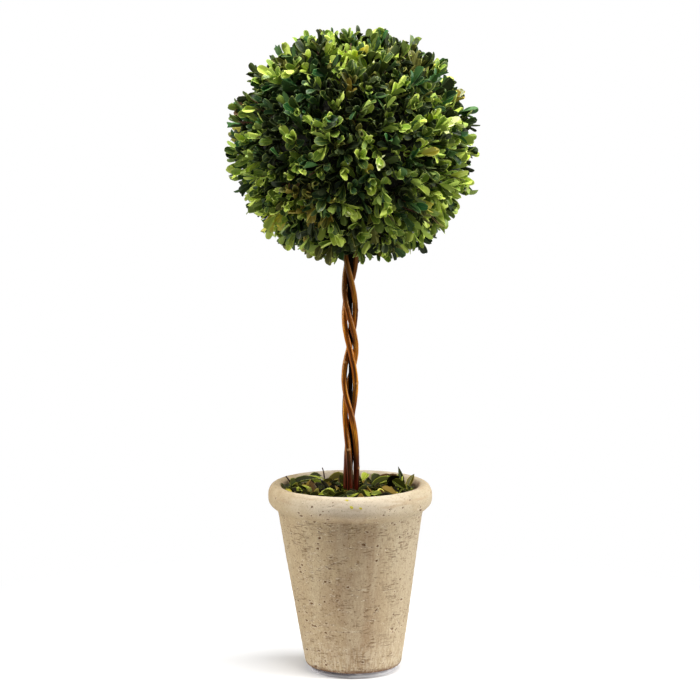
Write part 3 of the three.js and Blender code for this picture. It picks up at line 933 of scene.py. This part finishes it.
# Places where sprays of one tint gather: tint, direction, rise, how far round it they reach, and share.
# The broad fresh and lime ones towards both sides and low down are painted light where the side lamps fall
accents = [
    ("forest", 243, 30, 20, 0.6), ("fresh", 314, 54, 24, 0.25), ("fresh", 208, -24, 32, 0.38),
    ("fresh", 340, -14, 34, 0.24), ("fresh", 314, -54, 28, 0.28), ("olive", 226, -54, 28, 0.3),
    ("olive", 335, 50, 13, 0.8), ("fresh", 335, -10, 18, 0.25), ("lime", 276, 0, 34, 0.1),
    ("mid", 243, -28, 24, 0.3), ("lime", 345, -16, 34, 0.2), ("lime", 350, -45, 26, 0.27),
    ("lime", 320, -32, 26, 0.2), ("lime", 202, -32, 28, 0.28), ("lime", 226, -54, 24, 0.12),
    ("fresh", 270, 75, 30, 0.1), ("ochre", 240, -32, 14, 0.55), ("lime", 257, 67, 10, 0.5),
    ("lime", 259, 18, 7, 0.6), ("yellow", 213, -40, 7, 0.8), ("yellow", 264, 48, 4.5, 0.8),
    ("yellow", 309, -1, 4, 0.8), ("blue", 315, 38, 8, 0.5), ("pale", 329, 14, 7, 1),
    ("pale", 285, -2, 3.5, 0.8), ("pale", 287, -17, 3.5, 0.8),
]


# Distance from the ball's middle to its clipped outline: a squared-off ellipsoid,
# ((across / half width)^s + (up / half height)^s)^(-1 / s), times 1 + share * (nearness to the bulge)^power
def outlineReach(b, direction):
    across = np.hypot(direction[..., 0], direction[..., 1]) / (b["width"] / 2)
    up = np.abs(direction[..., 2]) / (b["height"] / 2)
    rise = math.radians(b["bulge"]["rise"])
    near = np.maximum(direction[..., 0] * math.cos(rise) + direction[..., 2] * math.sin(rise), 0)
    fuller = 1 + b["bulge"]["share"] * near ** b["bulge"]["power"]
    return fuller * (across ** b["squareness"] + up ** b["squareness"]) ** (-1 / b["squareness"])


# An even spread of directions over a sphere: each is a golden turn on from the last, and moved at random
def spreadDirections(count, jitter, random):
    order = np.arange(count)
    up = 1 - 2 * (order + 0.5) / count
    even = around(np.sqrt(1 - up * up), goldenTurn * order, up)
    return unit(even + (random.random((count, 3)) - 0.5) * jitter)


# A twig's line: straight from foot to tip, bent sideways by bow * 4 * s * (1 - s)
def twigLine(twigs, share):
    share = np.asarray(share)[..., None]
    return twigs["foot"] + (twigs["tip"] - twigs["foot"]) * share + twigs["bow"] * (4 * share * (1 - share))


# Forks from every branch: they start inside the core, lean away from the branch and end near the outline.
# Below the ball's middle none ends at the stem
def growTwigs(b, random):
    shape = (b["branches"], b["forks"])
    branches = spreadDirections(b["branches"], b["jitter"], random)
    start = random.uniform(0, fullTurn, b["branches"])[:, None]
    turn = start + np.arange(b["forks"]) * fullTurn / b["forks"] + strayed(random, b["turnSway"], shape)
    direction = np.repeat(branches[:, None], b["forks"], axis=1)
    lean = b["forkAngle"] * random.uniform(*b["forkLean"], shape)
    way = unit(direction + sideways(direction, turn) * lean[..., None]).reshape(-1, 3)
    end = outlineReach(b, way) * random.uniform(*b["twigEnd"], len(way))
    base = direction.reshape(-1, 3)
    foot = b["middle"] + base * (outlineReach(b, base) * (b["core"] - b["sink"]))[:, None]
    tip = b["middle"] + way * end[:, None]
    bend = b["bend"] * np.linalg.norm(tip - foot, axis=1)
    bow = sideways(way, random.uniform(0, fullTurn, len(way))) * bend[:, None]
    clear = (fromStem(tip) > b["stemSpace"]) | (way[:, 2] > 0)
    return picked({"foot": foot, "tip": tip, "bow": bow, "way": way}, clear)


# Which tint each spray has: drawn by the tints' shares, then by the accents near it
def dealTints(twigs, random):
    names = list(leafTints)
    sprays = dealt(leafTints, len(twigs["way"]), random)
    for name, turn, rise, spread, share in accents:
        aim = wayOf(math.radians(turn), math.radians(rise))
        near = twigs["way"] @ aim > math.cos(math.radians(spread))
        sprays[near & (random.random(len(near)) < share)] = names.index(name)
    return sprays


# Leaves of every pair on every twig, each tilted out from the twig with its hollow side towards it.
# Those that have dropped, pass the outline's reach or touch the stem below the ball's middle are left out
def growLeaves(b, twigs, tints, random):
    names = list(leafTints)
    ups, downs = (np.array([names.index(other.get(name, name)) for name in names])
                  for other in (lighter, darker))
    count = len(twigs["tip"])
    spin = random.uniform(0, fullTurn, count)
    youngAndLitTips = random.random(count) < b["youngAndLitTips"]
    grown = []
    for place, tilt, size, turn, chance in pairs:
        at = np.clip(place + strayed(random, b["pairSway"], count), 0, 1)
        ahead = twigLine(twigs, at + b["pairSway"]) - twigLine(twigs, at - b["pairSway"])
        axis = unit(unit(ahead) + b["sway"] * random.normal(size=(count, 3)))
        for half in (0, np.pi):
            tint = np.where(youngAndLitTips & (place == 1), ups[tints], tints)
            # inner pairs a step or two darker: painted shade deep in the ball
            for share in (chance, chance / 2):
                tint = np.where(random.random(count) < share, downs[tint], tint)
            aside = sideways(axis, spin + math.radians(turn) + half + strayed(random, b["turnSway"], count))
            lean = np.radians(tilt + strayed(random, b["tiltSway"], count))[:, None]
            along = axis * np.cos(lean) + aside * np.sin(lean)
            facing = axis * np.sin(lean) - aside * np.cos(lean)
            facing = unit(facing + np.cross(along, facing) * strayed(random, b["rollSway"], count)[:, None])
            length = random.uniform(*b["leafLength"], count) * size
            grown.append({
                "root": twigLine(twigs, at),
                "along": along,
                "facing": facing,
                "length": length,
                "width": length * random.uniform(*b["leafSlim"], count),
                **drawn(b["leafRanges"], count, random),
                "notch": random.choice(b["notches"], count),
                "pointed": random.choice(b["tips"], count),
                "tint": tint,
                "kept": random.random(count) < b["full"],
            })
    leaves = joined(*grown)
    end = leaves["root"] + leaves["along"] * leaves["length"][:, None]
    fromMiddle = end - b["middle"]
    reach = np.linalg.norm(fromMiddle, axis=1) / outlineReach(b, unit(fromMiddle))
    beside = np.minimum(fromStem(end), fromStem(leaves["root"]))
    clear = (beside > b["stemSpace"]) | (fromMiddle[:, 2] > 0)
    return picked(leaves, leaves["kept"] & (reach < b["reach"]) & clear)


# Bare twigs stand out between the leaves: a few where they show, and the rest at random
def growBareTwigs(b, random):
    shown = wayOf(*np.radians(bareEnds).T)
    way = np.concatenate([shown, unit(random.normal(size=(b["bareTwigs"], 3)) * b["bareSpread"])])
    size = outlineReach(b, way)[:, None]
    end = unit(way + b["bareSway"] * random.normal(size=way.shape))
    end = end * random.uniform(*b["bareEnd"], len(way))[:, None]
    bow = sideways(way, random.uniform(0, fullTurn, len(way)))
    bow = bow * random.uniform(*b["bareBow"], len(way))[:, None]
    foot, tip = b["middle"] + way * size * b["core"], b["middle"] + end * size
    return {"foot": foot, "tip": tip, "bow": bow, "way": way}


def twigMaterial(name, colour):
    return newMaterial(name, Base_Color=paint(*colour), Roughness=0.6, Specular_IOR_Level=0.3)[0]


# Many twigs as one piece, each a tube that tapers evenly from foot to tip
def addTwigs(b, name, twigs, material):
    steps, sides = b["twigGrid"]
    share = np.linspace(0, 1, steps)
    lines = np.stack([twigLine(twigs, s) for s in share], 1)
    thick, thin = b["twigRadius"]
    radius = thick + (thin - thick) * share
    settle(addTubes(name, lines, radius[None, :, None], sides, material), "box_leaves", "leaf_ball")


# The ball's middle, near black as painted shade deep among the leaves: the outline drawn in, and roughened
# by ripple
def addCore(b):
    rows, columns = b["coreGrid"]
    rise = (np.arange(rows) + 0.5) / rows * np.pi - np.pi / 2
    rise, turn = np.meshgrid(rise, ringTurns(columns), indexing="ij")
    way = wayOf(turn, rise)
    rough, wavelength = b["coreRough"]
    size = outlineReach(b, way) * (b["core"] + rough * ripple(way * 100, wavelength, 6, 3))
    points, faces = closedTurning(b["middle"] + way * size[..., None])
    material, tree, shader = newMaterial("ball_core", Roughness=0.95)
    shade = noise(tree, objectPlace(tree), 160, 4, 0.6)
    colour = layered(tree, (20, 19, 14), ((46, 45, 30), step(tree, shade, 0.4, 0.66)))
    dressed(tree, shader, colour, shade, 0.8, 0.002)
    settle(addPiece("ball_core", points, faces, [material]), "box_leaves", "leaf_ball")


def addBall(b):
    random = np.random.default_rng(b["seed"])
    twigs = growTwigs(b, random)
    tints = dealTints(twigs, random)
    leaves = growLeaves(b, twigs, tints, random)
    addTints("leaves", leaves, tintMaterials, leafMould, "box_leaves", "leaf_ball")
    bare = growBareTwigs(b, random)
    green = random.random(len(twigs["tip"])) < b["green"]
    brown = joined(picked(twigs, ~green), bare)
    addTwigs(b, "twigs_green", picked(twigs, green), twigMaterial("twig_green", (78, 84, 38)))
    addTwigs(b, "twigs_brown", brown, twigMaterial("twig_brown", (78, 46, 30)))
    addCore(b)
    print(f"ball grown: {len(twigs['tip'])} twigs and {len(leaves['tint'])} leaves")


addBall(ball)

# Filling: a bumpy dark bed, strewn with loose leaves
bed = {
    "top": 155.5,
    "clearance": 0.3,
    "flare": 2.6,  # how much wider it is at the top than at the pot's shoulder
    "rough": (1.3, 26),
    "columns": 120,
    "rings": 34,
    "seed": 8,
    "leaves": 520,
    "room": 55.5,
    "wall": 57.6,
    "stemSpace": 6,
    "lift": (-12, 36),
    "heights": (-0.5, 4.5),
    "drop": (3.2, 5, 45),  # how much lower the litter lies at the back, and where that starts and ends
    "upsideDown": 0.35,  # share of the leaves
    "tumble": 0.65,
    "leafLength": (7, 17),
    "leafSlim": (0.2, 0.46),
    "leafRanges": {"fold": (0.0, 0.5), "cup": (0.0, 0.5), "twist": (-0.7, 0.7), "curl": (-0.35, 0.25)},
    "notches": (-0.01, 0.0, 0.03),
}
# Dry leaves on the bed, browner than the ones on the ball; their paler edges are partly painted highlight
# too
litterTints = {
    "black": (30, (24, 19, 7), (32, 27, 9), (66, 62, 20)),
    "deep": (28, (36, 42, 12), (48, 50, 15), (110, 116, 34)),
    "mid": (12, (54, 64, 17), (68, 72, 22), (146, 154, 48)),
    "olive": (10, (78, 70, 20), (88, 80, 26), (160, 148, 52)),
    "fresh": (3.5, (114, 128, 34), (126, 134, 42), (190, 196, 76)),
    "lime": (2.5, (162, 174, 48), (172, 180, 66), (220, 224, 108)),
    "ochre": (5, (128, 104, 38), (136, 112, 46), (180, 158, 78)),
    "yellow": (2, (196, 184, 62), (190, 180, 74), (226, 218, 116)),
    "dry": (5, (72, 47, 24), (86, 60, 32), (120, 92, 52)),
}
litterMaterials = {name: leafMaterials(f"litter_{name}", tint, 0.5) for name, tint in litterTints.items()}
# Leaves placed one by one: root, direction, lift, length, slimness, tint and how sharp the tip is
placedLitter = [
    ((-57, 20, 159), 26, 9, 32, 0.26, "deep", 1),
    ((-50, 26, 161), 24, 7, 26, 0.2, "lime", 1),
    ((-40, 30, 159), 55, 16, 20, 0.42, "deep", 0.4),
    ((-24, 30, 159), 20, 18, 19, 0.5, "olive", 0.3),
    ((14, 10, 158), 18, 16, 24, 0.46, "mid", 0.5),
    ((18, 12, 160), 20, 20, 20, 0.34, "fresh", 0.5),
    ((38, 2, 157), 72, 54, 20, 0.34, "lime", 1),
    ((44, 4, 157), 115, 62, 23, 0.2, "deep", 1),
    ((46, 1, 158), 60, 44, 19, 0.3, "olive", 1),
    ((-53, -8, 159), -14, 8, 17, 0.42, "lime", 0.3),
    ((-30, -36, 161), -12, 8, 14, 0.6, "lime", 0),
    ((-10, -37, 160), 14, 10, 12, 0.45, "deep", 0),
    ((6, -38, 159), 48, 16, 18, 0.18, "fresh", 1),
    ((14, -30, 160), -30, 8, 12, 0.5, "fresh", 0.2),
    ((8, 26, 161), 70, 24, 14, 0.5, "lime", 0.4),
    ((32, 18, 159), 100, 26, 16, 0.5, "dry", 0.8),
    ((20, 44, 160), 0, 10, 18, 0.3, "dry", 1),
    ((28, 46, 161), -20, 12, 14, 0.3, "dry", 1),
    ((20, -34, 160), 62, 20, 12, 0.42, "yellow", 0.3),
    ((-57, -9, 159), 98, 9, 22, 0.4, "deep", 0.6),
    ((-53, -20, 160), 118, 5, 16, 0.22, "yellow", 0.8),
    ((-55, 10, 159.5), 68, 8, 20, 0.45, "mid", 0.6),
    ((48, -14, 159), 84, 9, 20, 0.36, "deep", 0.7),
    ((50, 8, 159), 106, 8, 18, 0.4, "dry", 0.7),
]
placedForm = {"fold": 0.25, "cup": 0.15, "twist": 0.15, "curl": -0.1, "notch": 0.0}
# Twigs that stick up from the litter: foot, tip and radius
litterTwigs = [
    ((-26, 46, 157), (-27.5, 47, 169.5), 0.7),
    ((-54, 16, 158), (-59, 14, 168), 0.9),
    ((-20, 30, 158), (-4, 24, 163), 0.6),
    ((-30, 8, 158), (-12, -4, 163), 0.6),
    ((24, 40, 158), (38, 34, 163), 0.7),
    ((10, 4, 158), (27, -6, 164), 0.6),
]
litterTwig = {"bow": (0.8, 0.5, 0), "taper": 0.7, "grid": (6, 7)}
# Leaf crumbs on the front of the rim: root, way out from the rim, direction, length and width
crumbs = [
    ((-8.4, -68.2, 162.3), (-0.09, -0.8, 0.6), (1, -0.1, 0.05), 4.2, 2.2),
    ((-3.2, -71.2, 158.2), (0, -0.98, 0.2), (0.8, 0, -0.6), 3.4, 2.6),
    ((4.6, -70.9, 156.8), (0.08, -0.99, 0.05), (0.9, 0.05, -0.4), 2.8, 2),
]
crumbForm = {"fold": 0.0, "cup": -0.05, "twist": 0.1, "curl": 0.05, "notch": 0.02, "pointed": 0.3}


# Dark crumbly earth with brown crumbs and damp green patches
def bedMaterial():
    material, tree, shader = newMaterial("bed_earth", Roughness=0.95)
    place = objectPlace(tree)
    clods = noise(tree, place, 420, 5, 0.7)
    damp = noise(tree, place, 60, 3, 0.5)
    colour = layered(tree, (20, 14, 8), ((66, 50, 28), step(tree, clods, 0.42, 0.66)),
                     ((36, 38, 14), step(tree, damp, 0.45, 0.65), 0.5))
    dressed(tree, shader, colour, clods, 0.9, 0.0015)
    return material


# The bed fills the pot from its inside up, and leans with it; only its top is rough
def addBed(b):
    inner, low = (wallRadius(pot[name]) - pot["wall"] - b["clearance"] for name in ("shoulder", "inside"))
    rim, deep = inner + b["flare"], pot["inside"] + b["clearance"]
    profile = profileOf((2, deep), (3, (low, deep)), (6, (inner, pot["shoulder"])), (4, (rim, b["top"] - 1)),
                        (b["rings"], (1.5, b["top"])))
    grid = turnedGrid(profile, b["columns"])[0]
    loose = np.clip((grid[..., 2] - b["top"] + 3) / 2, 0, 1)
    rough, wavelength = b["rough"]
    grid[..., 2] += loose * rough * ripple(grid, wavelength, 3, 4)
    points, faces = closedTurning(leaned(grid))
    settle(addPiece("bed_earth", points, faces, [bedMaterial()]), "bed", "filling")


# Loose leaves: spread evenly over the bed in a spiral, some upside down, none across the stem or the wall
def scatterLitter(b):
    random = np.random.default_rng(b["seed"])
    count = b["leaves"]
    order = np.arange(count)
    out = b["room"] * np.sqrt((order + 0.5) / count)
    way = random.uniform(0, fullTurn, count)
    lift = np.radians(random.uniform(*b["lift"], count))
    length = random.uniform(*b["leafLength"], count)
    along = wayOf(way, lift)
    middle = around(out, goldenTurn * order, 0 * out) + (stemX, 0, 0)
    root = middle - along * (length / 2)[:, None] * (1, 1, 0)
    drop, start, end = b["drop"]
    back = np.clip((middle[:, 1] - start) / (end - start), 0, 1)
    root[:, 2] = b["top"] + random.uniform(*b["heights"], count) - drop * back
    side = np.where(random.random(count) < b["upsideDown"], -1.0, 1.0)[:, None]
    leaves = {
        "root": root,
        "along": along,
        "facing": unit(np.array([0, 0, 1.0]) * side + b["tumble"] * random.normal(size=(count, 3))),
        "length": length,
        "width": length * random.uniform(*b["leafSlim"], count),
        **drawn(b["leafRanges"], count, random),
        "notch": random.choice(b["notches"], count),
        "pointed": random.uniform(0, 1, count),
        "tint": dealt(litterTints, count, random),
    }
    ends = [fromStem(place) for place in (root, root + along * length[:, None])]
    return picked(leaves, (np.maximum(*ends) < b["wall"]) & (np.minimum(*ends) > b["stemSpace"]))


# The listed leaves face up and a little to the front
def listedLitter(listed):
    names, count = list(litterTints), len(listed)
    root, way, lift, length, slim, tint, pointed = zip(*listed)
    return {
        "root": np.array(root, float),
        "along": wayOf(np.radians(way), np.radians(lift)),
        "facing": np.tile(unit(np.array([0, -0.5, 1.0])), (count, 1)),
        "length": np.array(length, float),
        "width": np.array(length) * np.array(slim),
        **sameForm(placedForm, count),
        "pointed": np.array(pointed, float),
        "tint": np.array([names.index(name) for name in tint]),
    }


# Leaves on the bed, and twigs that taper evenly and are bowed by bow * sin(pi * s)
def addLitter(b):
    leaves = joined(scatterLitter(b), listedLitter(placedLitter))
    addTints("litter", leaves, litterMaterials, litterMould, "bed", "filling")
    steps, sides = litterTwig["grid"]
    share = np.linspace(0, 1, steps)[:, None]
    foot, tip, radius = (np.array(column, float) for column in zip(*litterTwigs))
    lines = foot[:, None] + (tip - foot)[:, None] * share + litterTwig["bow"] * np.sin(np.pi * share)
    radius = radius[:, None, None] * np.linspace(1, litterTwig["taper"], steps)[None, :, None]
    piece = addTubes("litter_twigs", lines, radius, sides, twigMaterial("litter_twig", (62, 40, 30)))
    settle(piece, "bed", "filling")
    print(f"bed strewn with {len(leaves['tint'])} leaves")


# The crumbs lie flat on the rim
def addCrumbs(listed):
    root, facing, way, length, width = (np.array(column, float) for column in zip(*listed))
    leaves = {"root": root, "along": unit(way), "facing": unit(facing), "length": length, "width": width,
              **sameForm(crumbForm, len(listed))}
    settle(addLeaves("rim_crumbs", leaves, litterMaterials["yellow"], leafMould), "bed")


addBed(bed)
addLitter(bed)
addCrumbs(crumbs)

# Plain pale floor, white surroundings and soft lights from both sides and above
floor = {
    "radius": 6000,
    "sides": 96,
    "colour": (248, 248, 248),
    "open": (40, 480),  # distances between which the floor turns into a white sheet
    "light": 0.35,
    "shown": 1.0,
}
surroundings = {"light": 0.14, "shown": 1.0}
lights = [
    {"name": "left", "at": (-1500, -200, 900), "aim": (0, 0, 320), "size": (800, 1300), "power": 26},
    {"name": "right", "at": (1500, -150, 1000), "aim": (0, 0, 320), "size": (1000, 2000), "power": 40},
    {"name": "top", "at": (150, -260, 1900), "aim": (0, 0, 300), "size": (1000, 1000), "power": 46},
]


# Strength of a white backdrop: one value where it is seen in the picture and another for its light
def seenStrength(tree, backdrop):
    seen = addNode(tree, "ShaderNodeLightPath", {}).outputs["Is Camera Ray"]
    return ranged(tree, seen, backdrop["light"], backdrop["shown"])


# Round the plant the floor takes light and shadow; further out it turns into an evenly white sheet,
# which lights the plant more weakly than it looks
def addFloor(f):
    turn = ringTurns(f["sides"])
    points = around(f["radius"], turn, 0 * turn)
    material, tree, shader = newMaterial("pale_floor", Base_Color=paint(*f["colour"]), Roughness=0.9)
    near, far = f["open"]
    share = step(tree, lengthOf(tree, objectPlace(tree)), near * mm, far * mm)
    sockets = {"Color": (1, 1, 1, 1), "Strength": seenStrength(tree, f)}
    white = addNode(tree, "ShaderNodeEmission", sockets).outputs[0]
    blend = addNode(tree, "ShaderNodeMixShader", {0: share, 1: shader.outputs[0], 2: white}).outputs[0]
    tree.links.new(blend, tree.nodes["Material Output"].inputs["Surface"])
    addPiece("floor", points, [np.arange(f["sides"])[None]], [material])


# The surroundings look white in the picture and light the plant more weakly
def addSurroundings(s):
    world = bpy.data.worlds.new("studio")
    world.use_nodes = True
    tree = world.node_tree
    tree.links.new(seenStrength(tree, s), tree.nodes["Background"].inputs["Strength"])
    tree.nodes["Background"].inputs["Color"].default_value = (1, 1, 1, 1)
    scene.world = world


def addLight(setup):
    data = bpy.data.lights.new(setup["name"], "AREA")
    data.shape = "RECTANGLE"
    data.size, data.size_y = (side * mm for side in setup["size"])
    data.energy = setup["power"]
    light = bpy.data.objects.new(f"light_{setup['name']}", data)
    light.location = Vector(setup["at"]) * mm
    light.rotation_euler = (Vector(setup["at"]) - Vector(setup["aim"])).to_track_quat("Z", "Y").to_euler()
    scene.collection.objects.link(light)


addFloor(floor)
addSurroundings(surroundings)
for setup in lights:
    addLight(setup)
scene.view_settings.view_transform = "Standard"
print("floor and lights placed")
